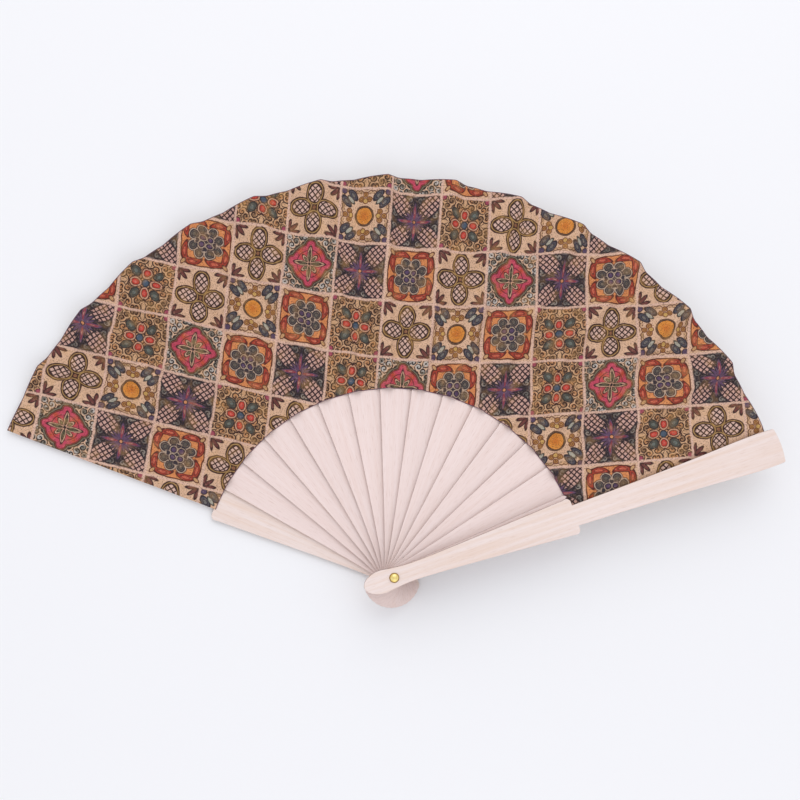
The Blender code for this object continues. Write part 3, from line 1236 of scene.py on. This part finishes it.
def thicken(sheet):
    with editing(sheet, "SELECT"):
        bpy.ops.mesh.normals_make_consistent(inside=False)
    if sum(face.normal.z for face in sheet.data.polygons) < 0:
        sheet.data.flip_normals()
    solid = sheet.modifiers.new("thickness", "SOLIDIFY")
    solid.thickness = CLOTH_THICK
    solid.offset = 1
    solid.use_even_offset = True
    bpy.ops.object.modifier_apply(modifier="thickness")
    for face in sheet.data.polygons:
        if face.normal.z < -CUT_SLOPE:
            face.material_index = BACK
        elif face.normal.z < CUT_SLOPE:
            face.material_index = EDGE


thicken(leaf)
print("thick leaf:", len(leaf.data.polygons), "faces")

# %% [markdown]
# ## Splitting the leaf
#
# The finished leaf is copied once for each panel, and all the faces of the other panels are
# deleted from the copy. The open cuts at the folds are filled, so that every panel is a closed
# solid on its own.

# %% Split it into panels
SOFT_FOLD = math.radians(50)  # a blunter fold in the cloth is shaded smooth


def panel_of(point):
    angle = math.degrees(math.atan2(point.y, point.x))
    return min(max(int((LEAF_LEFT - angle) / (2 * HALF_PANEL)), 0), PANELS - 1)


def split_panels(sheet):
    """One closed piece for each panel, in order from the rear guard."""
    pieces = []
    for panel in range(PANELS):
        piece = new_object(f"panel_{panel:02d}", sheet.data.copy())
        with editing(piece, "DESELECT"):
            bpy.ops.mesh.select_mode(type="FACE")
        for face in piece.data.polygons:
            face.select = panel_of(face.center) != panel
        with editing(piece):
            bpy.ops.mesh.delete(type="FACE")
            bpy.ops.mesh.select_mode(type="EDGE")
            bpy.ops.mesh.select_all(action="DESELECT")
            bpy.ops.mesh.select_non_manifold()
            bpy.ops.mesh.fill_holes(sides=0)
            bpy.ops.mesh.select_all(action="SELECT")
            bpy.ops.mesh.normals_make_consistent(inside=False)
        bpy.ops.object.shade_smooth_by_angle(angle=SOFT_FOLD)
        pieces.append(piece)
    bpy.data.objects.remove(sheet)
    return pieces


panels = split_panels(leaf)
print(len(panels), "panels of about", len(panels[3].data.polygons), "faces")

# %% [markdown]
# ## Making the leaf follow the sticks
#
# A glued panel turns with its stick, and as the fan closes its ridge and valley are pressed
# flat between the sticks. A free panel folds back at its valley. Here each panel is only
# attached to a stick: a glued panel to its own, and a free panel to the one whose valley it
# starts from.


def polar(radius, angle_deg, z):
    angle = math.radians(angle_deg)
    return Vector((radius * math.cos(angle), radius * math.sin(angle), z))


def hang_panel(piece, panel):
    stick = panel // 2
    glued = panel % 2 == 0
    kind = f"{'glued' if glued else 'free'}_{stick:02d}"
    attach(piece, STICKS[stick])
    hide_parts(f"leaf_{kind}")
    piece.name = f"cloth_{kind}"
    2 * HALF_PANEL
    base = FRONT_Z[stick] + GLUE
    if glued and stick < RIBS:
        joint = f"{STICKS[max(stick, 1)]}_swing"
        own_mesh(piece)
    if not glued:
        edge = axis_of(stick) - HALF_PANEL
        fold_line = polar(LEAF_OUTER, edge, base + valley(stick, LEAF_OUTER))
        width = LEAF_INNER * math.sin(math.radians(2 * HALF_PANEL))
        rise = free_height(stick, 1, LEAF_INNER) - free_height(stick, 0, LEAF_INNER)
        slope = polar(width, edge - 90, rise)
        joint = f"{STICKS[stick + 1]}_swing"
        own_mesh(piece)


for number, piece in enumerate(panels):
    hang_panel(piece, number)
print("panels hung:", panels[0].name, "to", panels[-1].name)

# %% [markdown]
# ## Turning the end under
#
# The last strip of a leaf is turned under the front guard and glued there, which hides the
# raw edge. It is flat and shows only its unprinted back, so the model's own shape is copied,
# eased at the edges and given the plain cloth.

# %% The leaf's end, folded back under the front guard
END_EASE = 0.05 * MM


def make_leaf_end():
    end = copy_of_node("leaf_end", "cloth_end")
    map_to_tiles(end)
    ease_edges(end, END_EASE, 1)
    for material in CLOTH[BACK:]:
        end.data.materials.append(material)
    for face in end.data.polygons:
        face.material_index = 0 if abs(face.normal.z) > CUT_SLOPE else 1
    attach(end, "front_guard")
    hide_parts("leaf_end")
    return end


leaf_end = make_leaf_end()
2 * HALF_PANEL
print("leaf end:", len(leaf_end.data.polygons), "faces")
